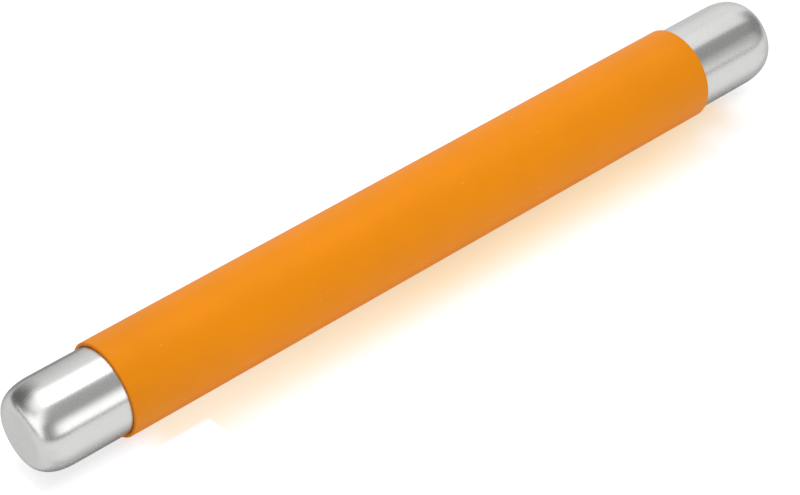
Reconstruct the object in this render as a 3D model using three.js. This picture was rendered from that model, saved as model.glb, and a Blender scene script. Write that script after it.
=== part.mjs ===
// A straight rolling pin: a hollow steel body with closed, rounded ends and a silicone sleeve over it.
// Millimetres, +Z up. The pin lies along X, its middle is over the origin and it rests on z = 0.
import * as THREE from 'three';

// The steel body
const bodyLength = 400;
const bodyDiameter = 38.7;
const steelWall = 1;

// The rounded corner of each end: its reach along the pin, its reach in from the side, and how square it is
const cornerLength = 15;
const cornerDepth = 8.5;
const cornerSquareness = 2.3;

// The sleeve and the bare steel on each side of it
const sleeveWall = 1.5;
const sleeveClearance = 0.15;
const leftBareLength = 40;
const rightBareLength = 45.4;
const rimRounding = 0.6;
const boreBevel = 0.3;

// How far the shorter of the two covered cup skirts runs under the sleeve
const skirtCover = 6;

// The ring inside each joint of tube and cup
const ringLength = 28;
const ringWall = 3;
const ringClearance = 0.05;
const ringBevel = 0.8;

// The seals in the ring's grooves, flattened between groove floor and steel
const sealWidth = 2.2;
const sealSideGap = 0.15;
const sealContactGap = 0.03;
const grooveDepth = 1.4;
const grooveOffset = 7;

// How finely the round shapes are divided. The sides are a multiple of four, so one lies flat below.
const sides = 40;
const cornerSteps = 9;
const rimSteps = 3;
const sealSteps = 8;

// Radii and places that follow from the sizes
const bodyRadius = bodyDiameter / 2;
const boreRadius = bodyRadius - steelWall;
const sleeveBoreRadius = bodyRadius + sleeveClearance;
const sleeveRadius = sleeveBoreRadius + sleeveWall;
const ringRadius = boreRadius - ringClearance;
const endFaceAt = -bodyLength / 2;
const cupLength = Math.max(leftBareLength, rightBareLength) + skirtCover;
const jointAt = endFaceAt + cupLength;

function steelMaterial() {
  return new THREE.MeshStandardMaterial({ color: '#c8cac8', metalness: 1, roughness: 0.3 });
}

function siliconeMaterial() {
  return new THREE.MeshStandardMaterial({ color: '#ec9024', metalness: 0, roughness: 0.55 });
}

function nylonMaterial() {
  return new THREE.MeshStandardMaterial({ color: '#d9d6cc', metalness: 0, roughness: 0.6 });
}

function sealMaterial() {
  return new THREE.MeshStandardMaterial({ color: '#2a2b2d', metalness: 0, roughness: 0.7 });
}

// The shares from 0 to 1 that divide a stretch into equal steps.
function stepShares(count) {
  return Array.from({ length: count + 1 }, (_, step) => step / count);
}

// Turns an outline of [place along the pin, radius] points about the pin's axis.
// The flats lie at the named radii and the corners between them a little outside.
function turned(name, outline, material) {
  const flatToCorner = 1 / Math.cos(Math.PI / sides);
  const profile = outline.map(([along, radius]) => new THREE.Vector2(radius * flatToCorner, along));
  const geometry = new THREE.LatheGeometry(profile, sides, Math.PI / sides);
  geometry.rotateZ(-Math.PI / 2);
  const mesh = new THREE.Mesh(geometry, material);
  mesh.name = name;
  return mesh;
}

// An outline that closes on itself.
function ringOutline(points) {
  return [...points, points[0]];
}

// The rounded corner of an end, from its flat face out to its straight side.
function endCorner(faceAt, sideRadius, length, depth) {
  const power = 2 / cornerSquareness;
  return stepShares(cornerSteps).map((share) => {
    const angle = share * Math.PI / 2;
    const along = faceAt + length * (1 - Math.cos(angle) ** power);
    const radius = sideRadius - depth * (1 - Math.sin(angle) ** power);
    return [along, radius];
  });
}

// A closed cup, drawn from sheet, whose skirt ends at the joint with the tube.
function endCup(name) {
  const outside = endCorner(endFaceAt, bodyRadius, cornerLength, cornerDepth);
  const inside = endCorner(
    endFaceAt + steelWall,
    boreRadius,
    cornerLength - steelWall,
    cornerDepth - steelWall,
  );
  const outline = [
    [endFaceAt, 0],
    ...outside,
    [jointAt, bodyRadius],
    [jointAt, boreRadius],
    ...inside.reverse(),
    [endFaceAt + steelWall, 0],
  ];
  return turned(name, outline, steelMaterial());
}

// The straight tube between the two cups.
function coreTube(name) {
  const outline = ringOutline([
    [jointAt, bodyRadius],
    [-jointAt, bodyRadius],
    [-jointAt, boreRadius],
    [jointAt, boreRadius],
  ]);
  return turned(name, outline, steelMaterial());
}

// Where the middle of a seal's groove lies: one on the cup's side of the joint, one on the tube's side.
const groovePlaces = {
  outer: jointAt - grooveOffset,
  inner: jointAt + grooveOffset,
};

// The four points of one groove in the ring's outside.
function groove(middle) {
  const halfWidth = sealWidth / 2 + sealSideGap;
  const floorRadius = ringRadius - grooveDepth;
  return [
    [middle - halfWidth, ringRadius],
    [middle - halfWidth, floorRadius],
    [middle + halfWidth, floorRadius],
    [middle + halfWidth, ringRadius],
  ];
}

// The ring that lines up tube and cup, with a bevel that leads it into each of them.
function jointRing(name) {
  const start = jointAt - ringLength / 2;
  const end = jointAt + ringLength / 2;
  const innerRadius = ringRadius - ringWall;
  const outline = ringOutline([
    [start, ringRadius - ringBevel],
    [start + ringBevel, ringRadius],
    ...groove(groovePlaces.outer),
    ...groove(groovePlaces.inner),
    [end - ringBevel, ringRadius],
    [end, ringRadius - ringBevel],
    [end, innerRadius],
    [start, innerRadius],
  ]);
  return turned(name, outline, nylonMaterial());
}

// A round cord seal, pressed oval between the groove's floor and the steel.
function seal(name, middle) {
  const floorRadius = ringRadius - grooveDepth + sealContactGap;
  const topRadius = boreRadius - sealContactGap;
  const middleRadius = (floorRadius + topRadius) / 2;
  const halfHeight = (topRadius - floorRadius) / 2;
  const halfWidth = sealWidth / 2;
  const points = stepShares(sealSteps).slice(0, -1).map((share) => {
    const angle = share * 2 * Math.PI;
    return [middle - halfWidth * Math.cos(angle), middleRadius + halfHeight * Math.sin(angle)];
  });
  return turned(name, ringOutline(points), sealMaterial());
}

// All that belongs to one end, built at the left and turned half round for the right.
function pinEnd(side, turn) {
  const end = new THREE.Group();
  end.add(endCup(`end_cup_${side}`));
  end.add(jointRing(`joint_ring_${side}`));
  for (const [place, middle] of Object.entries(groovePlaces)) {
    end.add(seal(`seal_${side}_${place}`, middle));
  }
  end.rotation.z = turn;
  return end;
}

// One rim of the sleeve, from the bore's bevel up to the outside. Inward is +1 at the left, -1 at the right.
function sleeveRim(rimAt, inward) {
  const rounding = stepShares(rimSteps).map((share) => {
    const angle = share * Math.PI / 2;
    const along = rimAt + inward * rimRounding * (1 - Math.cos(angle));
    const radius = sleeveRadius - rimRounding * (1 - Math.sin(angle));
    return [along, radius];
  });
  return [
    [rimAt + inward * boreBevel, sleeveBoreRadius],
    [rimAt, sleeveBoreRadius + boreBevel],
    ...rounding,
  ];
}

// The sleeve, which covers the middle of the pin.
function siliconeSleeve(name) {
  const leftRim = sleeveRim(endFaceAt + leftBareLength, 1);
  const rightRim = sleeveRim(-endFaceAt - rightBareLength, -1);
  const outline = ringOutline([...leftRim, ...rightRim.reverse()]);
  return turned(name, outline, siliconeMaterial());
}

const pin = new THREE.Group();
pin.add(coreTube('core_tube'));
pin.add(pinEnd('left', 0));
pin.add(pinEnd('right', Math.PI));
pin.add(siliconeSleeve('silicone_sleeve'));
pin.position.z = sleeveRadius;

export default pin;
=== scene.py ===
"""A straight rolling pin: a hollow satin steel body with rounded closed ends and an orange silicone
sleeve. Metres, +Z up. The pin lies along X with its left end, nearest the camera, towards -X."""

import math

import bpy
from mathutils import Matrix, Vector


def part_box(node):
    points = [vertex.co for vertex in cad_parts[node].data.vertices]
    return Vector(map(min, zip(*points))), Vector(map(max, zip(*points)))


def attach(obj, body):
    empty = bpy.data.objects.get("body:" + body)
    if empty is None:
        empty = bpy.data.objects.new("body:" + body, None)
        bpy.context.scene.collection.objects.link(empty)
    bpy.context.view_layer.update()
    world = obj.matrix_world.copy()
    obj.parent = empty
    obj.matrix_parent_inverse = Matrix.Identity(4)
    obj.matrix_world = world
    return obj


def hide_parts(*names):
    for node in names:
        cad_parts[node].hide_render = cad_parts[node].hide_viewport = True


bl_info = {
    "name": "Rolling Pin with Silicone Sleeve",
    "version": (1, 0, 0),
    "blender": (4, 5, 0),
    "location": "View3D > Sidebar > Rolling Pin",
    "description": "Builds a rolling pin from its sizes and finishes, with a small studio round it",
    "category": "Object",
}

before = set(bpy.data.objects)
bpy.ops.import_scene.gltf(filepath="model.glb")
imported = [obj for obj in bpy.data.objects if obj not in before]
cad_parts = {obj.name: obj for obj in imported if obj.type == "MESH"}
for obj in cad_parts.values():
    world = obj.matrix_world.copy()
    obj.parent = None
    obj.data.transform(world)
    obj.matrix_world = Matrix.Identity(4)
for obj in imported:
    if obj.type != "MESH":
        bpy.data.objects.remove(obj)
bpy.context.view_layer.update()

MM = 0.001

# The pin's two ends. Outlines are drawn for the left one, and -1 mirrors them along the pin.
ENDS = {"left": 1, "right": -1}

# The two seals of each joint ring
SEAL_PLACES = ("outer", "inner")

TUBE_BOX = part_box("core_tube")
SLEEVE_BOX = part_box("silicone_sleeve")
CUP_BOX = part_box("end_cup_left")
RING_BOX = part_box("joint_ring_left")
SEAL_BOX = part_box("seal_left_outer")
AXIS_HEIGHT = (SLEEVE_BOX[0].z + SLEEVE_BOX[1].z) / 2
HALF_LENGTH = -CUP_BOX[0].x


def box_radius(box):
    """Half the height of a round node's box."""
    return (box[1].z - box[0].z) / 2


def box_middle(box):
    """The middle of a box along the pin."""
    return (box[0].x + box[1].x) / 2


def box_half_length(box):
    """Half the length of a box along the pin."""
    return (box[1].x - box[0].x) / 2


def linear(hex_colour):
    """Turns an sRGB hex colour into linear red, green, blue and full alpha."""
    channels = [int(hex_colour[start:start + 2], 16) / 255 for start in (1, 3, 5)]
    return [c / 12.92 if c <= 0.04045 else ((c + 0.055) / 1.055) ** 2.4 for c in channels] + [1.0]


WHITE = linear("#FFFFFF")


def length_property(name, description, default):
    """A length in metres that the panel shows in the scene's unit."""
    return bpy.props.FloatProperty(
        name=name,
        description=description,
        default=default,
        min=0,
        precision=5,
        subtype="DISTANCE",
        unit="LENGTH",
    )


def level_property(name, description, default):
    """A light level."""
    return bpy.props.FloatProperty(name=name, description=description, default=default, min=0)


def colour_property(name, description, hex_colour):
    """A colour whose default is written as sRGB hex."""
    return bpy.props.FloatVectorProperty(
        name=name,
        description=description,
        default=linear(hex_colour),
        size=4,
        min=0,
        max=1,
        subtype="COLOR",
    )


class RollingPinSizes(bpy.types.PropertyGroup):
    """Sizes of the pin's pieces."""

    body_radius: length_property(
        "Body radius", "Outside radius of the steel body", box_radius(TUBE_BOX)
    )
    steel_wall: length_property("Steel wall", "Thickness of tube and cups", 1.0 * MM)
    corner_length: length_property(
        "Corner length", "Reach of an end's rounded corner along the pin", 15 * MM
    )
    corner_depth: length_property("Corner depth", "Reach of the corner in from the side", 8.5 * MM)
    corner_squareness: bpy.props.FloatProperty(
        name="Corner squareness",
        description="2 is an elliptical corner, more is squarer",
        default=2.3,
        min=1,
        max=8,
    )
    edge_rounding: length_property(
        "Edge rounding", "Rounding of the sheet edges at the joints", 0.12 * MM
    )
    sleeve_radius: length_property(
        "Sleeve radius", "Outside radius of the sleeve", box_radius(SLEEVE_BOX)
    )
    sleeve_clearance: length_property("Sleeve clearance", "Room between steel and sleeve", 0.15 * MM)
    rim_rounding: length_property("Rim rounding", "Rounding of the sleeve's outer rims", 0.6 * MM)
    bore_rounding: length_property(
        "Bore rounding", "Rounding of the sleeve's bore at its rims", 0.15 * MM
    )
    ring_radius: length_property(
        "Joint ring radius", "Outside radius of the joint rings", box_radius(RING_BOX)
    )
    ring_wall: length_property("Joint ring wall", "Thickness of the joint rings", 3 * MM)
    ring_bevel: length_property("Joint ring bevel", "Bevel that leads a ring into the steel", 0.8 * MM)
    groove_depth: length_property("Groove depth", "Depth of the seal grooves", 1.4 * MM)
    seal_side_gap: length_property("Seal side gap", "Room beside a seal in its groove", 0.15 * MM)
    seal_contact_gap: length_property(
        "Seal contact gap", "Room between a seal and what presses it", 0.03 * MM
    )


class RollingPinFinishes(bpy.types.PropertyGroup):
    """Colours of the pin's materials."""

    steel: colour_property("Steel", "Satin stainless steel", "#DCDDDB")
    silicone: colour_property("Silicone", "Moulded orange silicone", "#F58F00")
    nylon: colour_property("Nylon", "Natural moulded nylon", "#D9D6CC")
    seal: colour_property("Seal rubber", "Black rubber of the seals", "#2A2B2D")


class RollingPinStudio(bpy.types.PropertyGroup):
    """Light levels and tones of the studio. A level is a radiance, where 1 shows as white."""

    lamp_level: level_property("Lamp level", "Soft lamp overhead", 1.31)
    low_level: level_property("Low level", "Low soft lamp in front", 1.75)
    fill_level: level_property("Fill level", "Even light all round", 0.54)
    floor: colour_property("Floor", "Pale tabletop", "#F5F5F5")


# Modelling by hand: a ring is added and drawn along an outline of [place along the pin, radius] points.

RING_SIDES = 192
SMOOTH_ANGLE = math.radians(30)


def deselect_all():
    """Leaves nothing selected."""
    for item in bpy.context.selected_objects:
        item.select_set(False)


def add_ring(name, along, radius):
    """Adds a circle round the pin's axis and stays in edit mode with all of it selected."""
    deselect_all()
    bpy.ops.mesh.primitive_circle_add(
        vertices=RING_SIDES,
        radius=radius,
        fill_type="NOTHING",
        enter_editmode=True,
        location=(along, 0, AXIS_HEIGHT),
        rotation=(0, math.radians(90), 0),
    )
    piece = bpy.context.object
    piece.name = name
    piece.data.name = name
    return piece


def draw_outline(outline):
    """Extrudes the selected ring from each point of the outline to the next."""
    for (along, radius), (next_along, next_radius) in zip(outline, outline[1:]):
        bpy.ops.mesh.extrude_region_move(
            TRANSFORM_OT_translate={"value": (next_along - along, 0, 0), "orient_type": "GLOBAL"}
        )
        share = next_radius / radius
        bpy.ops.transform.resize(
            value=(1, share, share), center_override=(next_along, 0, AXIS_HEIGHT)
        )


def finish_piece(piece, material, body, slot, nodes):
    """Makes faces point outwards, settles the piece in its mesh and ties it to the frame."""
    bpy.ops.mesh.select_all(action="SELECT")
    bpy.ops.mesh.normals_make_consistent(inside=False)
    bpy.ops.object.mode_set(mode="OBJECT")
    bpy.ops.object.transform_apply(location=True, rotation=True, scale=True)
    bpy.ops.object.shade_smooth_by_angle(angle=SMOOTH_ANGLE)
    piece.data.materials.append(material)
    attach(piece, body)
    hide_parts(*nodes)


def turn_solid(name, outline, **ties):
    """A turned piece whose outline starts and ends beside the axis, closed there by two small discs."""
    piece = add_ring(name, *outline[0])
    draw_outline(outline)
    bpy.ops.mesh.select_all(action="SELECT")
    bpy.ops.mesh.fill_holes(sides=0)
    finish_piece(piece, **ties)


def turn_ring(name, outline, **ties):
    """A turned piece that is open along the axis: its last ring is bridged to its first."""
    piece = add_ring(name, *outline[0])
    draw_outline(outline)
    bpy.ops.mesh.select_all(action="DESELECT")
    bpy.ops.mesh.select_non_manifold()
    bpy.ops.mesh.bridge_edge_loops()
    finish_piece(piece, **ties)


def step_shares(count):
    """Shares from 0 to 1 in equal steps."""
    return [step / count for step in range(count + 1)]


def rounded_edge(start, end, steps):
    """A quarter round from start to end that leaves start along the pin and reaches end across it."""
    points = []
    for share in step_shares(steps):
        angle = share * math.pi / 2
        along = start[0] + (end[0] - start[0]) * math.sin(angle)
        radius = start[1] + (end[1] - start[1]) * (1 - math.cos(angle))
        points.append((along, radius))
    return points


# Materials


def output_of(source):
    """An output as it is given, or the first output that a given node has in use."""
    if isinstance(source, bpy.types.Node):
        return next(output for output in source.outputs if output.enabled)
    return source


def add_node(tree, kind, settings=(), links=()):
    """Adds a node. Settings are its own properties, or sockets by name or number. Links feed sockets from
    nodes or from outputs."""
    node = tree.nodes.new(kind)
    for key, value in dict(settings).items():
        if isinstance(key, int) or key in node.inputs:
            node.inputs[key].default_value = value
        else:
            setattr(node, key, value)
    for key, source in dict(links).items():
        tree.links.new(output_of(source), node.inputs[key])
    return node


def between(start, end):
    """The settings of a node that maps one range of values to another."""
    return {"From Min": start[0], "From Max": start[1], "To Min": end[0], "To Max": end[1]}


# Nearly all of a noise's values lie in this range
NOISE_RANGE = (0.3, 0.7)


def new_material(name, settings):
    """A material with its surface shader's constant values set."""
    material = bpy.data.materials.new(name)
    material.use_nodes = True
    surface = material.node_tree.nodes["Principled BSDF"]
    for key, value in settings.items():
        surface.inputs[key].default_value = value
    return material, material.node_tree, surface


def place_on_pin(tree):
    """The place on the pin, from the middle of its axis."""
    coordinates = add_node(tree, "ShaderNodeTexCoord")
    return add_node(
        tree,
        "ShaderNodeMapping",
        {"Location": (0, 0, -AXIS_HEIGHT)},
        {"Vector": coordinates.outputs["Object"]},
    )


def distance_along(tree, place):
    """How far a place lies from the pin's middle, along its axis."""
    along = add_node(tree, "ShaderNodeSeparateXYZ", {}, {"Vector": place})
    return add_node(tree, "ShaderNodeMath", {"operation": "ABSOLUTE"}, {0: along.outputs["X"]})


def clouded(tree, colour, clouds, tones):
    """The colour, made darker and lighter between two tones by clouds."""
    tone = add_node(tree, "ShaderNodeMapRange", between(NOISE_RANGE, tones), {"Value": clouds})
    return add_node(
        tree, "ShaderNodeVectorMath", {"operation": "SCALE", 0: colour[:3]}, {"Scale": tone}
    )


def roughen(tree, surface, grain, roughness, depth, strength):
    """Lets a grain change how rough the surface is, between two values, and how high it stands."""
    rough = add_node(tree, "ShaderNodeMapRange", between(NOISE_RANGE, roughness), {"Value": grain})
    tree.links.new(output_of(rough), surface.inputs["Roughness"])
    bump = add_node(
        tree, "ShaderNodeBump", {"Strength": strength, "Distance": depth}, {"Height": grain}
    )
    tree.links.new(output_of(bump), surface.inputs["Normal"])


STEEL = "stainless_steel_satin_brushed"
STEEL_CLOUD = 14 * MM
STEEL_TONES = (0.975, 1.0)
STEEL_ROUGHNESS = (0.22, 0.3)
BRUSH_SPACING = 0.22 * MM
BRUSH_DEPTH = 0.004 * MM
# How far a line's noise is followed on its way round the pin: the more, the shorter its scratches
BRUSH_TURN = 5.0


def brushed_steel(colour):
    """Stainless steel, deep drawn and brushed on a lathe: fine lines run round the pin, so that bright
    bands stay crisp round it and smear along it. The lines are drawn a little coarser than real ones."""
    material, tree, surface = new_material(
        STEEL,
        {
            "Metallic": 1.0,
            "Roughness": 0.26,
            "Anisotropic": 0.7,
            "Anisotropic Rotation": 0.25,
            "Specular Tint": linear("#DADADA"),
        },
    )
    place = place_on_pin(tree)
    across = add_node(
        tree, "ShaderNodeVectorMath", {"operation": "MULTIPLY", 1: (0, 1, 1)}, {0: place}
    )
    radius = add_node(tree, "ShaderNodeVectorMath", {"operation": "LENGTH"}, {0: across})
    round_way = add_node(tree, "ShaderNodeVectorMath", {"operation": "NORMALIZE"}, {0: across})
    turn = add_node(
        tree, "ShaderNodeVectorMath", {"operation": "SCALE", "Scale": BRUSH_TURN}, {0: round_way}
    )
    profile = add_node(
        tree, "ShaderNodeMath", {"operation": "SUBTRACT"}, {0: distance_along(tree, place), 1: radius}
    )
    line_count = add_node(
        tree, "ShaderNodeMath", {"operation": "DIVIDE", 1: BRUSH_SPACING}, {0: profile}
    )
    line_start = add_node(tree, "ShaderNodeCombineXYZ", {}, {"X": line_count})
    line_place = add_node(
        tree, "ShaderNodeVectorMath", {"operation": "ADD"}, {0: line_start, 1: turn}
    )
    lines = add_node(
        tree,
        "ShaderNodeTexNoise",
        {"Scale": 1.0, "Detail": 3.0, "Roughness": 0.6},
        {"Vector": line_place},
    )
    clouds = add_node(
        tree, "ShaderNodeTexNoise", {"Scale": 1 / STEEL_CLOUD, "Detail": 2.0}, {"Vector": place}
    )
    base = clouded(tree, colour, clouds, STEEL_TONES)
    tree.links.new(output_of(base), surface.inputs["Base Color"])
    roughen(tree, surface, lines, STEEL_ROUGHNESS, BRUSH_DEPTH, strength=0.5)
    tangent = add_node(tree, "ShaderNodeTangent", {"direction_type": "RADIAL", "axis": "X"})
    tree.links.new(output_of(tangent), surface.inputs["Tangent"])
    return material


SILICONE = "silicone_rubber_moulded_matt"
SILICONE_CLOUD = 22 * MM
SILICONE_TONES = (0.965, 1.01)
SILICONE_GRAIN = 0.7 * MM
SILICONE_GRAIN_DEPTH = 0.008 * MM
SILICONE_ROUGHNESS = (0.48, 0.52)
# The sleeve gets darker between these distances from the pin's middle, by this share at the further one
RIM_SHADE_FROM = (105 * MM, 155 * MM)
RIM_SHADE = 0.06
# Specks lie about this far apart, and each one's radius is this share of that
SPECK_SPACING = 8 * MM
SPECK_SHARE = 0.06
SPECK_COLOUR = "#F3CE99"
SPECK_STRENGTH = 0.6


def moulded_silicone(colour):
    """Food silicone, moulded and matt: an even deep orange with a soft weak sheen of its own warm tint,
    faint clouding, a touch darker towards its rims, and the odd pale speck of flour dust."""
    material, tree, surface = new_material(
        SILICONE, {"Roughness": 0.5, "IOR": 1.41, "Specular Tint": linear("#FFFFB3")}
    )
    place = place_on_pin(tree)
    clouds = add_node(
        tree, "ShaderNodeTexNoise", {"Scale": 1 / SILICONE_CLOUD, "Detail": 3.0}, {"Vector": place}
    )
    rim_tone = add_node(
        tree,
        "ShaderNodeMapRange",
        between(RIM_SHADE_FROM, (1, 1 - RIM_SHADE)),
        {"Value": distance_along(tree, place)},
    )
    ground = add_node(
        tree,
        "ShaderNodeVectorMath",
        {"operation": "SCALE"},
        {0: clouded(tree, colour, clouds, SILICONE_TONES), "Scale": rim_tone},
    )
    cells = add_node(tree, "ShaderNodeTexVoronoi", {"Scale": 1 / SPECK_SPACING}, {"Vector": place})
    speck = add_node(
        tree,
        "ShaderNodeMapRange",
        between((SPECK_SHARE, 0), (0, SPECK_STRENGTH)),
        {"Value": cells.outputs["Distance"]},
    )
    dusted = add_node(
        tree,
        "ShaderNodeMix",
        {"data_type": "RGBA", "B": linear(SPECK_COLOUR)},
        {"Factor": speck, "A": ground},
    )
    tree.links.new(dusted.outputs["Result"], surface.inputs["Base Color"])
    grain = add_node(
        tree, "ShaderNodeTexNoise", {"Scale": 1 / SILICONE_GRAIN, "Detail": 2.0}, {"Vector": place}
    )
    roughen(tree, surface, grain, SILICONE_ROUGHNESS, SILICONE_GRAIN_DEPTH, strength=0.4)
    return material


NYLON = "nylon_injection_moulded"
NYLON_CLOUD = 8 * MM
NYLON_TONES = (0.93, 1.0)
NYLON_GRAIN = 0.9 * MM
NYLON_GRAIN_DEPTH = 0.02 * MM
NYLON_ROUGHNESS = (0.42, 0.58)


def moulded_nylon(colour):
    """Nylon, injection moulded and left natural: milky, with faint flow clouds and a dull fine grain."""
    material, tree, surface = new_material(NYLON, {"Roughness": 0.5, "IOR": 1.53})
    place = place_on_pin(tree)
    clouds = add_node(
        tree, "ShaderNodeTexNoise", {"Scale": 1 / NYLON_CLOUD, "Detail": 2.0}, {"Vector": place}
    )
    base = clouded(tree, colour, clouds, NYLON_TONES)
    tree.links.new(output_of(base), surface.inputs["Base Color"])
    grain = add_node(
        tree, "ShaderNodeTexNoise", {"Scale": 1 / NYLON_GRAIN, "Detail": 2.0}, {"Vector": place}
    )
    roughen(tree, surface, grain, NYLON_ROUGHNESS, NYLON_GRAIN_DEPTH, strength=0.4)
    return material


SEAL_RUBBER = "nitrile_rubber_pressed"
SEAL_CLOUD = 3 * MM
SEAL_TONES = (0.8, 1.2)
SEAL_GRAIN_DEPTH = 0.01 * MM
SEAL_ROUGHNESS = (0.35, 0.55)


def pressed_rubber(colour):
    """Nitrile rubber, pressed and lightly greased: near black, with a soft uneven shine."""
    material, tree, surface = new_material(SEAL_RUBBER, {"Roughness": 0.45, "IOR": 1.52})
    place = place_on_pin(tree)
    clouds = add_node(
        tree, "ShaderNodeTexNoise", {"Scale": 1 / SEAL_CLOUD, "Detail": 3.0}, {"Vector": place}
    )
    base = clouded(tree, colour, clouds, SEAL_TONES)
    tree.links.new(output_of(base), surface.inputs["Base Color"])
    roughen(tree, surface, clouds, SEAL_ROUGHNESS, SEAL_GRAIN_DEPTH, strength=0.3)
    return material


def material_once(name, make, colour):
    """The named material, made the first time that it is asked for."""
    return bpy.data.materials.get(name) or make(colour)


def steel(context):
    """The steel of tube and cups."""
    return material_once(STEEL, brushed_steel, context.scene.rolling_pin_finishes.steel)


# Pieces


# How many steps each kind of stretch in an outline is drawn in
CORNER_STEPS = 32
FACE_STEPS = 6
EDGE_STEPS = 4
RIM_STEPS = 8
SEAL_STEPS = 24

# The radius of the small disc that closes an end face, as a share of the face's own
POLE_SHARE = 0.12

# How far beside a rounded edge a ring stands that keeps the shading of the straight stretch even
SUPPORT = 0.4 * MM


def end_corner(sizes, face_at, side_radius, length, depth):
    """The rounded corner of an end, from its flat face out to its straight side."""
    power = 2 / sizes.corner_squareness
    points = []
    for share in step_shares(CORNER_STEPS):
        angle = share * math.pi / 2
        along = face_at + length * (1 - max(math.cos(angle), 0) ** power)
        radius = side_radius - depth * (1 - math.sin(angle) ** power)
        points.append((along, radius))
    return points


def flat_face(at, radius):
    """Rings on a flat end face, from beside its middle to just short of its rim."""
    shares = step_shares(FACE_STEPS)[:-1]
    return [(at, radius * (POLE_SHARE + (1 - POLE_SHARE) * share)) for share in shares]


def sheet_edge(sizes, at, inward):
    """The edge of the steel at a joint, from the outside over a small rounding into the bore. Inward is the
    direction along the pin from the edge into the piece."""
    rounding = sizes.edge_rounding
    bore_radius = sizes.body_radius - sizes.steel_wall
    return [
        (at + inward * (rounding + SUPPORT), sizes.body_radius),
        *rounded_edge(
            (at + inward * rounding, sizes.body_radius), (at, sizes.body_radius - rounding), EDGE_STEPS
        ),
        (at, bore_radius),
        (at + inward * SUPPORT, bore_radius),
    ]


def cup_outline(sizes):
    """The left cup's outline, from the middle of its face round the skirt's edge to the middle inside."""
    face_at = CUP_BOX[0].x
    edge_at = CUP_BOX[1].x
    wall = sizes.steel_wall
    length = sizes.corner_length
    depth = sizes.corner_depth
    disc_radius = sizes.body_radius - depth
    outside = end_corner(sizes, face_at, sizes.body_radius, length, depth)
    inside = end_corner(sizes, face_at + wall, sizes.body_radius - wall, length - wall, depth - wall)
    return [
        *flat_face(face_at, disc_radius),
        *outside,
        *sheet_edge(sizes, edge_at, -1),
        *reversed(inside),
        *reversed(flat_face(face_at + wall, disc_radius)),
    ]


class ROLLINGPIN_OT_end_cups(bpy.types.Operator):
    """Add the two drawn steel cups that close the body and show at its ends"""

    bl_idname = "rolling_pin.end_cups"
    bl_label = "End Cups"

    def execute(self, context):
        outline = cup_outline(context.scene.rolling_pin_sizes)
        for side, way in ENDS.items():
            turn_solid(
                f"end_cup_{side}_brushed",
                [(way * along, radius) for along, radius in outline],
                material=steel(context),
                body="pin_body",
                slot="steel",
                nodes=[f"end_cup_{side}"],
            )
        return {"FINISHED"}


class ROLLINGPIN_OT_core_tube(bpy.types.Operator):
    """Add the straight steel tube between the cups, which the sleeve covers"""

    bl_idname = "rolling_pin.core_tube"
    bl_label = "Core Tube"

    def execute(self, context):
        sizes = context.scene.rolling_pin_sizes
        left_edge = sheet_edge(sizes, TUBE_BOX[0].x, 1)
        right_edge = sheet_edge(sizes, TUBE_BOX[1].x, -1)
        turn_ring(
            "core_tube_brushed",
            [*reversed(left_edge), *right_edge],
            material=steel(context),
            body="pin_body",
            slot="steel",
            nodes=["core_tube"],
        )
        return {"FINISHED"}


def rim_outline(sizes, rim_at, inward):
    """One rim of the sleeve, from inside its bore to its outside. Inward is 1 at the left and -1 at the
    right."""
    bore_radius = sizes.body_radius + sizes.sleeve_clearance
    inner = sizes.bore_rounding
    outer = sizes.rim_rounding
    inner_edge = rounded_edge(
        (rim_at + inward * inner, bore_radius), (rim_at, bore_radius + inner), EDGE_STEPS
    )
    outer_edge = rounded_edge(
        (rim_at + inward * outer, sizes.sleeve_radius), (rim_at, sizes.sleeve_radius - outer), RIM_STEPS
    )
    return [
        (rim_at + inward * (inner + SUPPORT), bore_radius),
        *reversed(inner_edge),
        *reversed(outer_edge),
        (rim_at + inward * (outer + SUPPORT), sizes.sleeve_radius),
    ]


class ROLLINGPIN_OT_sleeve(bpy.types.Operator):
    """Add the silicone sleeve, which slides off either end of the body"""

    bl_idname = "rolling_pin.sleeve"
    bl_label = "Silicone Sleeve"

    def execute(self, context):
        scene = context.scene
        left = rim_outline(scene.rolling_pin_sizes, SLEEVE_BOX[0].x, 1)
        right = rim_outline(scene.rolling_pin_sizes, SLEEVE_BOX[1].x, -1)
        colour = scene.rolling_pin_finishes.silicone
        turn_ring(
            "silicone_sleeve_moulded",
            [*left, *reversed(right)],
            material=material_once(SILICONE, moulded_silicone, colour),
            body="sleeve",
            slot="silicone",
            nodes=["silicone_sleeve"],
        )
        return {"FINISHED"}


def groove_outline(sizes, place):
    """The four points of one seal groove in the left ring."""
    middle = box_middle(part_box(f"seal_left_{place}"))
    half_width = box_half_length(SEAL_BOX) + sizes.seal_side_gap
    floor_radius = sizes.ring_radius - sizes.groove_depth
    return [
        (middle - half_width, sizes.ring_radius),
        (middle - half_width, floor_radius),
        (middle + half_width, floor_radius),
        (middle + half_width, sizes.ring_radius),
    ]


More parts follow.
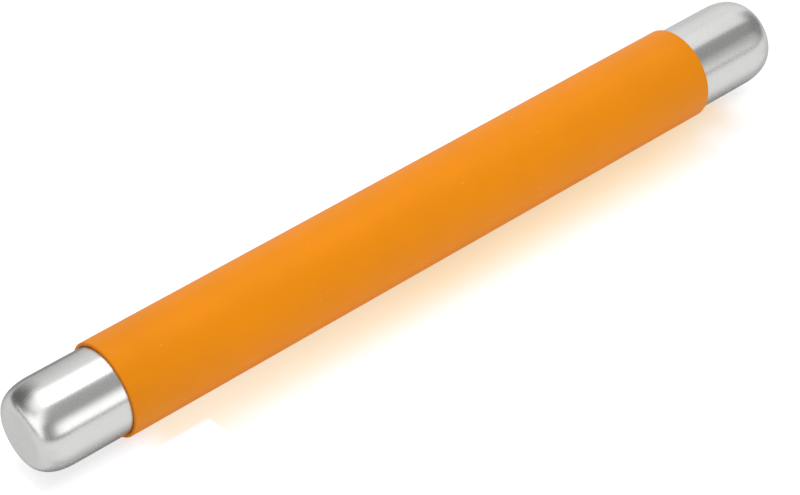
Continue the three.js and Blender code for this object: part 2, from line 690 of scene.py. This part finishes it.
class ROLLINGPIN_OT_joint_rings(bpy.types.Operator):
    """Add the two moulded rings inside the joints of tube and cups"""

    bl_idname = "rolling_pin.joint_rings"
    bl_label = "Joint Rings"

    def execute(self, context):
        sizes = context.scene.rolling_pin_sizes
        colour = context.scene.rolling_pin_finishes.nylon
        start, end = RING_BOX[0].x, RING_BOX[1].x
        inner_radius = sizes.ring_radius - sizes.ring_wall
        bevel = sizes.ring_bevel
        grooves = [point for place in SEAL_PLACES for point in groove_outline(sizes, place)]
        outline = [
            (start, inner_radius),
            (start, sizes.ring_radius - bevel),
            (start + bevel, sizes.ring_radius),
            *grooves,
            (end - bevel, sizes.ring_radius),
            (end, sizes.ring_radius - bevel),
            (end, inner_radius),
        ]
        for side, way in ENDS.items():
            turn_ring(
                f"joint_ring_{side}_moulded",
                [(way * along, radius) for along, radius in outline],
                material=material_once(NYLON, moulded_nylon, colour),
                body="pin_body",
                slot="nylon",
                nodes=[f"joint_ring_{side}"],
            )
        return {"FINISHED"}


def seal_outline(sizes, box):
    """A seal, pressed oval between the groove's floor and the steel."""
    floor_radius = sizes.ring_radius - sizes.groove_depth + sizes.seal_contact_gap
    top_radius = sizes.body_radius - sizes.steel_wall - sizes.seal_contact_gap
    middle_radius = (floor_radius + top_radius) / 2
    half_height = (top_radius - floor_radius) / 2
    outline = []
    for share in step_shares(SEAL_STEPS)[:-1]:
        angle = share * 2 * math.pi
        along = box_middle(box) - box_half_length(box) * math.cos(angle)
        outline.append((along, middle_radius + half_height * math.sin(angle)))
    return outline


class ROLLINGPIN_OT_seals(bpy.types.Operator):
    """Add the four seals, pressed oval in the joint rings' grooves"""

    bl_idname = "rolling_pin.seals"
    bl_label = "Seals"

    def execute(self, context):
        sizes = context.scene.rolling_pin_sizes
        colour = context.scene.rolling_pin_finishes.seal
        for side in ENDS:
            for place in SEAL_PLACES:
                turn_ring(
                    f"seal_{side}_{place}_pressed",
                    seal_outline(sizes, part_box(f"seal_{side}_{place}")),
                    material=material_once(SEAL_RUBBER, pressed_rubber, colour),
                    body="pin_body",
                    slot="seal",
                    nodes=[f"seal_{side}_{place}"],
                )
        return {"FINISHED"}


# The studio


CAMERA_PLACE = (-587.5 * MM, -680.5 * MM, AXIS_HEIGHT + 768.5 * MM)
CAMERA_DOWN = math.radians(41.11)
CAMERA_TURN = math.radians(-40.453)
CAMERA_LENS = 126.55
CAMERA_REACH = 100.0
FLOOR_SIZE = 40.0

# How a lamp or card is turned, and the directions of the cards' fades
QUARTER = math.radians(90)
FLAT = (0, 0, 0)
UPRIGHT = (QUARTER, 0, 0)
SIDEWAYS = (0, QUARTER, 0)
ALONG = (1, 0, 0)
ACROSS = (0, 1, 0)
UP = (0, 0, 1)

# What the steel reflects. Each card has its centre, its size, how it is turned, its dark and its light
# tone, and fades: a direction, and the places along it where the light tone is full and where it has gone.
CARDS = {
    # The ceiling behind the pin, bright
    "overhead_card": (
        (0.6, 0.505, 1.0), (1.6, 1.4), FLAT, (0.9, 2.1),
        [(ALONG, 0.45, 0.7), (ACROSS, 0.4, 0.85)],
    ),
    "overhead_left_card": (
        (-1.1, 0.505, 1.0), (1.8, 1.4), FLAT, (0.28, 1.35),
        [(ALONG, -0.25, -1.5), (ACROSS, 0.15, 0.85)],
    ),
    # The ceiling in front of it, darker
    "front_ceiling_card": ((0.9, -1.195, 1.0), (2.2, 2.0), FLAT, (0.37, 0.47), [(ALONG, 0.3, 0.9)]),
    "left_ceiling_card": (
        (-1.2, -1.195, 1.0), (2.0, 2.0), FLAT, (0.36, 1.35), [((-1, 1.1, 0), 0.4, -0.35)],
    ),
    # A strip in front, with a dark edge at its foot
    "front_strip_card": (
        (0.325, -1.0, 0.56), (1.75, 0.82), UPRIGHT, (0.36, 1.6),
        [(ALONG, 0.55, 1.05), (UP, 0.35, 1.05), (ALONG, -0.12, -0.5)],
    ),
    "front_edge_card": ((0.85, -0.99, 0.165), (0.7, 0.06), UPRIGHT, (0.12, 0.12), []),
    # Walls in front, behind and past both ends
    "front_wall_card": ((0, -1.05, 0.5), (4.0, 1.0), UPRIGHT, (0.28, 0.68), [(ALONG, 0.9, -0.6)]),
    "back_wall_card": (
        (0, 1.0, 0.5), (4.0, 1.0), UPRIGHT, (0.15, 1.0), [(ALONG, 0.42, -0.3), (UP, 0.5, -1.4)],
    ),
    "right_card": ((1.4, -0.15, 0.6), (1.2, 1.3), SIDEWAYS, (0.28, 0.65), [(ACROSS, 0.55, 0.1)]),
    "left_card": (
        (-1.2, -0.15, 0.5), (1.0, 1.8), SIDEWAYS, (0.3, 1.5),
        [((0, 1, 0.4), 0.15, 0.95), (ACROSS, -0.5, -1.05)],
    ),
    # Sheets on the tabletop, one of them painted light over the pin's shade beside the left end, and a dark
    # foot close in front of each bare end, which is a painted contact shadow, darkest nearest the pin
    "front_floor_card": ((0, -0.53, 0.0006), (4.0, 0.94), FLAT, (0.68, 0.96), [(ALONG, -0.2, -0.5)]),
    # Painted light over the pin's shade on the tabletop, beside the left end
    "left_painted_light_card": ((-0.3, 0.095, 0.0008), (0.2, 0.31), FLAT, (0.88, 0.88), []),
    # Painted contact shadows in front of the bare ends, darkest nearest the pin
    "left_painted_shadow_card": (
        (-0.167, -0.04, 0.0008), (0.084, 0.039), FLAT, (0.45, 0.97), [(ACROSS, -0.036, -0.012)],
    ),
    "right_painted_shadow_card": (
        (0.195, -0.04, 0.0008), (0.084, 0.039), FLAT, (0.45, 0.97), [(ACROSS, -0.036, -0.012)],
    ),
    # Low cards past the left end. The dark one gives the fine dark line round the end's face.
    "left_edge_card": (
        (-0.4, 0.1, 0.02), (0.038, 0.36), SIDEWAYS, (0.03, 0.6), [(ACROSS, -0.07, 0.02)],
    ),
    "left_low_card": (
        (-0.41, 0.18, 0.08), (0.08, 0.19), SIDEWAYS, (0.35, 1.3),
        [(ACROSS, 0.13, 0.28), (UP, 0.06, 0.12)],
    ),
    # Low cards close behind the pin
    "edge_card": ((-0.01, 0.045, 0.017), (0.36, 0.034), UPRIGHT, (0.45, 0.8), [(ALONG, 0.18, 0.13)]),
    "edge_left_card": (
        (-0.202, 0.045, 0.017), (0.024, 0.034), UPRIGHT, (0.55, 0.85), [(ALONG, -0.207, -0.187)],
    ),
}


def add_lamp(name, centre, size, rotation, level):
    """A soft rectangular lamp of the given radiance. It lights surfaces without being reflected, because
    the cards make what metal reflects."""
    deselect_all()
    bpy.ops.object.light_add(type="AREA", location=centre, rotation=rotation)
    lamp = bpy.context.object
    lamp.name = name
    lamp.data.shape = "RECTANGLE"
    lamp.data.size, lamp.data.size_y = size
    lamp.data.energy = level * math.pi * size[0] * size[1]
    lamp.visible_camera = False
    lamp.visible_glossy = False


def light_share(tree, fades):
    """How much of a card's light tone is left at a place, with all of its fades taken together."""
    coordinates = add_node(tree, "ShaderNodeTexCoord")
    shares = []
    for way, full_at, gone_at in fades:
        distance = add_node(
            tree,
            "ShaderNodeVectorMath",
            {"operation": "DOT_PRODUCT", 1: way},
            {0: coordinates.outputs["Object"]},
        )
        share = add_node(
            tree,
            "ShaderNodeMapRange",
            {"interpolation_type": "SMOOTHSTEP", "From Min": gone_at, "From Max": full_at},
            {"Value": distance},
        )
        shares.append(share)
    together, *others = shares
    for share in others:
        together = add_node(tree, "ShaderNodeMath", {"operation": "MULTIPLY"}, {0: together, 1: share})
    return together


def add_card(name, centre, size, rotation, tones, fades):
    """A studio card that only reflections see. Its light tone falls off to its dark one along each fade."""
    deselect_all()
    bpy.ops.mesh.primitive_plane_add(size=1, location=centre, rotation=rotation)
    card = bpy.context.object
    card.name = name
    bpy.ops.transform.resize(value=(*size, 1), orient_type="LOCAL")
    bpy.ops.object.transform_apply(location=True, rotation=True, scale=True)
    card.visible_camera = False
    card.visible_diffuse = False
    card.visible_shadow = False
    material = bpy.data.materials.new(f"{name}_paper")
    material.use_nodes = True
    material.cycles.emission_sampling = "NONE"
    tree = material.node_tree
    tree.nodes.clear()
    dark, light = tones
    glow = add_node(tree, "ShaderNodeEmission", {"Color": WHITE, "Strength": light})
    if fades:
        tone = add_node(
            tree,
            "ShaderNodeMapRange",
            between((0, 1), (dark, light)),
            {"Value": light_share(tree, fades)},
        )
        tree.links.new(output_of(tone), glow.inputs["Strength"])
    add_node(tree, "ShaderNodeOutputMaterial", {}, {"Surface": glow})
    card.data.materials.append(material)


def shiny_ray(tree, path):
    """1 for the rays that metal and glass send on, and 0 for all others."""
    return add_node(
        tree,
        "ShaderNodeMath",
        {"operation": "MAXIMUM"},
        {0: path.outputs["Is Glossy Ray"], 1: path.outputs["Is Transmission Ray"]},
    )


# The tabletop as light meets it: matt and hardly glossy
LIT_LOOK = {
    "gloss_colour": "#FFFFFF",
    "gloss_roughness": 0.3,
    "gloss_share": 0.1,
    "glow_colour": "#FFFFFF",
    "glow_level": 0.02,
}

# As the camera sees it beside the sleeve: the sleeve's soft image in a blue-tinted gloss, with a warm glow
# painted over it that stands in for the sleeve's orange light on the tabletop
SLEEVE_LOOK = {
    "gloss_colour": "#B8C8FF",
    "gloss_roughness": 0.48,
    "gloss_share": 0.85,
    # A painted warm glow, standing in for the sleeve's orange light on the tabletop
    "glow_colour": "#FFF2CD",
    "glow_level": 0.68,
}

# As the camera sees it beside the bare ends, with their soft grey image
STEEL_LOOK = {
    "gloss_colour": "#A0A0A4",
    "gloss_roughness": 0.48,
    "gloss_share": 0.85,
    "glow_colour": "#FFFFFF",
    "glow_level": 0.73,
}

# The far tabletop is a little brighter than white, so a trace of a near look leaves it white.
FAR_LEVEL = 1.1

# All places below are measured from a point this far to the right of the pin's middle.
TABLETOP_LEAN = (11 * MM, 0, 0)

# The distances from the pin between which the near looks turn into the far white
TABLETOP_FADE = (50 * MM, 160 * MM)

# The distances along the pin between which the sleeve's look gives way to the steel's
TABLETOP_ENDS = (154 * MM, 166 * MM)

# The sleeve's look is painted paler towards the left end, up to a share, which lightens its shade and image
# there
SLEEVE_PALING = (-10 * MM, -160 * MM)
SLEEVE_PALED_SHARE = 0.28

# The steel's look is painted paler away from the line below the pin, up to a share, which lightens the
# shade and image there
STEEL_PALING = (10 * MM, 18 * MM)
STEEL_PALED_SHARE = 0.7

# A warm glow is painted on the tabletop below the sleeve's right rim. It is a painted reflection of the
# sleeve's orange, which stays in place when the sleeve slides.
# It ends along the pin within the reach, pales away from the line below the pin, and takes over from the
# other looks up to a share.
RIM_PAINTED_GLOW_COLOUR = "#F8D9B3"
RIM_PAINTED_GLOW_AT = 143 * MM
RIM_PAINTED_GLOW_REACH = (30 * MM, 12 * MM)
RIM_PAINTED_GLOW_PALING = (10 * MM, 49 * MM)
RIM_PAINTED_GLOW_SHARE = 0.65


def tabletop_look(tree, colour, gloss_colour, gloss_roughness, gloss_share, glow_colour, glow_level):
    """One look of the tabletop: a matt ground under a gloss, with a glow added."""
    matt = add_node(tree, "ShaderNodeBsdfDiffuse", {"Color": colour})
    gloss = add_node(
        tree, "ShaderNodeBsdfGlossy", {"Color": linear(gloss_colour), "Roughness": gloss_roughness}
    )
    ground = add_node(tree, "ShaderNodeMixShader", {"Fac": gloss_share}, {1: matt, 2: gloss})
    glow = add_node(
        tree, "ShaderNodeEmission", {"Color": linear(glow_colour), "Strength": glow_level}
    )
    return add_node(tree, "ShaderNodeAddShader", {}, {0: ground, 1: glow})


def gives_way(tree, first, second, value, reach, share=1):
    """The first look, which the second takes over as a value crosses a reach, up to a share."""
    taken = add_node(tree, "ShaderNodeMapRange", between(reach, (0, share)), {"Value": value})
    return add_node(tree, "ShaderNodeMixShader", {}, {"Fac": taken, 1: first, 2: second})


def distance_from_pin(tree, place):
    """How far a place on the tabletop lies from the line straight below the pin."""
    folded = add_node(tree, "ShaderNodeVectorMath", {"operation": "ABSOLUTE"}, {0: place})
    past_ends = add_node(
        tree,
        "ShaderNodeVectorMath",
        {"operation": "SUBTRACT", 1: (HALF_LENGTH, 0, 0)},
        {0: folded},
    )
    beside = add_node(
        tree, "ShaderNodeVectorMath", {"operation": "MAXIMUM", 1: (0, 0, 0)}, {0: past_ends}
    )
    return add_node(tree, "ShaderNodeVectorMath", {"operation": "LENGTH"}, {0: beside})


def near_tabletop(tree, colour, place, far):
    """What the camera sees close to the pin: the looks beside sleeve and steel, and the warm glow painted
    below the sleeve's right rim.
    """
    way = add_node(tree, "ShaderNodeSeparateXYZ", {}, {"Vector": place})
    aside = add_node(tree, "ShaderNodeMath", {"operation": "ABSOLUTE"}, {0: way.outputs["Y"]})
    sleeve_look = tabletop_look(tree, colour, **SLEEVE_LOOK)
    steel_look = tabletop_look(tree, colour, **STEEL_LOOK)
    # The warm glow painted below the sleeve's right rim, a painted reflection of the sleeve
    glow = add_node(tree, "ShaderNodeEmission", {"Color": linear(RIM_PAINTED_GLOW_COLOUR), "Strength": 1})
    by_sleeve = gives_way(
        tree, sleeve_look, far, way.outputs["X"], SLEEVE_PALING, SLEEVE_PALED_SHARE
    )
    by_steel = gives_way(tree, steel_look, far, aside, STEEL_PALING, STEEL_PALED_SHARE)
    by_painted_rim_glow = gives_way(tree, glow, far, aside, RIM_PAINTED_GLOW_PALING)
    below_pin = gives_way(tree, by_sleeve, by_steel, distance_along(tree, place), TABLETOP_ENDS)
    past_rim = add_node(
        tree, "ShaderNodeMath", {"operation": "SUBTRACT", 1: RIM_PAINTED_GLOW_AT}, {0: way.outputs["X"]}
    )
    from_rim = add_node(tree, "ShaderNodeMath", {"operation": "ABSOLUTE"}, {0: past_rim})
    return gives_way(tree, below_pin, by_painted_rim_glow, from_rim, RIM_PAINTED_GLOW_REACH, RIM_PAINTED_GLOW_SHARE)


def add_floor(colour):
    """The pale tabletop. Light meets a matt one. The camera sees a glossier one, whose soft images of the
    sleeve and the bare ends fade to plain white further off, with a warm glow painted below the sleeve, and
    metal and glass see that white too."""
    deselect_all()
    bpy.ops.mesh.primitive_plane_add(size=FLOOR_SIZE, location=(0, 0, 0))
    floor = bpy.context.object
    floor.name = "floor"
    material = bpy.data.materials.new("tabletop_white_satin")
    material.use_nodes = True
    tree = material.node_tree
    tree.nodes.clear()
    coordinates = add_node(tree, "ShaderNodeTexCoord")
    place = add_node(
        tree,
        "ShaderNodeVectorMath",
        {"operation": "SUBTRACT", 1: TABLETOP_LEAN},
        {0: coordinates.outputs["Object"]},
    )
    fade = add_node(
        tree,
        "ShaderNodeMapRange",
        between(TABLETOP_FADE, (0, 1)),
        {"Value": distance_from_pin(tree, place)},
    )
    far = add_node(tree, "ShaderNodeEmission", {"Color": WHITE, "Strength": FAR_LEVEL})
    near = near_tabletop(tree, colour, place, far)
    seen = add_node(tree, "ShaderNodeMixShader", {}, {"Fac": fade, 1: near, 2: far})
    path = add_node(tree, "ShaderNodeLightPath")
    white_share = add_node(
        tree, "ShaderNodeMath", {"operation": "MULTIPLY"}, {0: shiny_ray(tree, path), 1: fade}
    )
    lit = tabletop_look(tree, colour, **LIT_LOOK)
    white = add_node(tree, "ShaderNodeEmission", {"Color": WHITE, "Strength": 1})
    unseen = add_node(tree, "ShaderNodeMixShader", {}, {"Fac": white_share, 1: lit, 2: white})
    shown = add_node(
        tree,
        "ShaderNodeMixShader",
        {},
        {"Fac": path.outputs["Is Camera Ray"], 1: unseen, 2: seen},
    )
    add_node(tree, "ShaderNodeOutputMaterial", {}, {"Surface": shown})
    floor.data.materials.append(material)


def set_world(fill_level):
    """An even surround: a soft fill as light, and plain white for the camera and for metal and glass."""
    world = bpy.context.scene.world or bpy.data.worlds.new("studio")
    bpy.context.scene.world = world
    world.use_nodes = True
    tree = world.node_tree
    tree.nodes.clear()
    path = add_node(tree, "ShaderNodeLightPath")
    white = add_node(
        tree,
        "ShaderNodeMath",
        {"operation": "MAXIMUM"},
        {0: path.outputs["Is Camera Ray"], 1: shiny_ray(tree, path)},
    )
    level = add_node(
        tree, "ShaderNodeMapRange", between((0, 1), (fill_level, 1)), {"Value": white}
    )
    background = add_node(tree, "ShaderNodeBackground", {"Color": WHITE}, {"Strength": level})
    add_node(tree, "ShaderNodeOutputWorld", {}, {"Surface": background})


class ROLLINGPIN_OT_studio(bpy.types.Operator):
    """Add the tabletop, the soft lamps, the grey cards and the camera"""

    bl_idname = "rolling_pin.studio"
    bl_label = "Studio"

    def execute(self, context):
        studio = context.scene.rolling_pin_studio
        add_floor(studio.floor)
        set_world(studio.fill_level)
        add_lamp("overhead_lamp", (0, 0.2, 1.0), (1.6, 1.0), FLAT, studio.lamp_level)
        add_lamp("low_front_lamp", (0, -0.6, 0.07), (1.2, 0.1), UPRIGHT, studio.low_level)
        for name, card in CARDS.items():
            add_card(name, *card)
        deselect_all()
        bpy.ops.object.camera_add(
            location=CAMERA_PLACE, rotation=(QUARTER - CAMERA_DOWN, 0, CAMERA_TURN)
        )
        camera = bpy.context.object
        camera.name = "camera"
        camera.data.lens = CAMERA_LENS
        camera.data.clip_end = CAMERA_REACH
        context.scene.camera = camera
        context.scene.view_settings.view_transform = "Standard"
        return {"FINISHED"}


class ROLLINGPIN_PT_panel(bpy.types.Panel):
    """The pin's sizes, finishes and pieces"""

    bl_idname = "ROLLINGPIN_PT_panel"
    bl_label = "Rolling Pin"
    bl_space_type = "VIEW_3D"
    bl_region_type = "UI"
    bl_category = "Rolling Pin"

    def draw(self, context):
        for name in GROUPS:
            group = getattr(context.scene, name)
            box = self.layout.box()
            for entry in group.__annotations__:
                box.prop(group, entry)
        for operator in OPERATORS:
            self.layout.operator(operator.bl_idname)


OPERATORS = (
    ROLLINGPIN_OT_core_tube,
    ROLLINGPIN_OT_end_cups,
    ROLLINGPIN_OT_joint_rings,
    ROLLINGPIN_OT_seals,
    ROLLINGPIN_OT_sleeve,
    ROLLINGPIN_OT_studio,
)
GROUPS = {
    "rolling_pin_sizes": RollingPinSizes,
    "rolling_pin_finishes": RollingPinFinishes,
    "rolling_pin_studio": RollingPinStudio,
}


def register():
    """Registers the property groups, the operators and the panel."""
    for name, group in GROUPS.items():
        bpy.utils.register_class(group)
        setattr(bpy.types.Scene, name, bpy.props.PointerProperty(type=group))
    for operator in OPERATORS:
        bpy.utils.register_class(operator)
    bpy.utils.register_class(ROLLINGPIN_PT_panel)


def unregister():
    """Takes them all away again."""
    bpy.utils.unregister_class(ROLLINGPIN_PT_panel)
    for operator in reversed(OPERATORS):
        bpy.utils.unregister_class(operator)
    for name, group in reversed(GROUPS.items()):
        delattr(bpy.types.Scene, name)
        bpy.utils.unregister_class(group)


def main():
    register()
    bpy.ops.rolling_pin.core_tube()
    bpy.ops.rolling_pin.end_cups()
    bpy.ops.rolling_pin.joint_rings()
    bpy.ops.rolling_pin.seals()
    bpy.ops.rolling_pin.sleeve()
    bpy.ops.rolling_pin.studio()


if __name__ == "__main__":
    main()
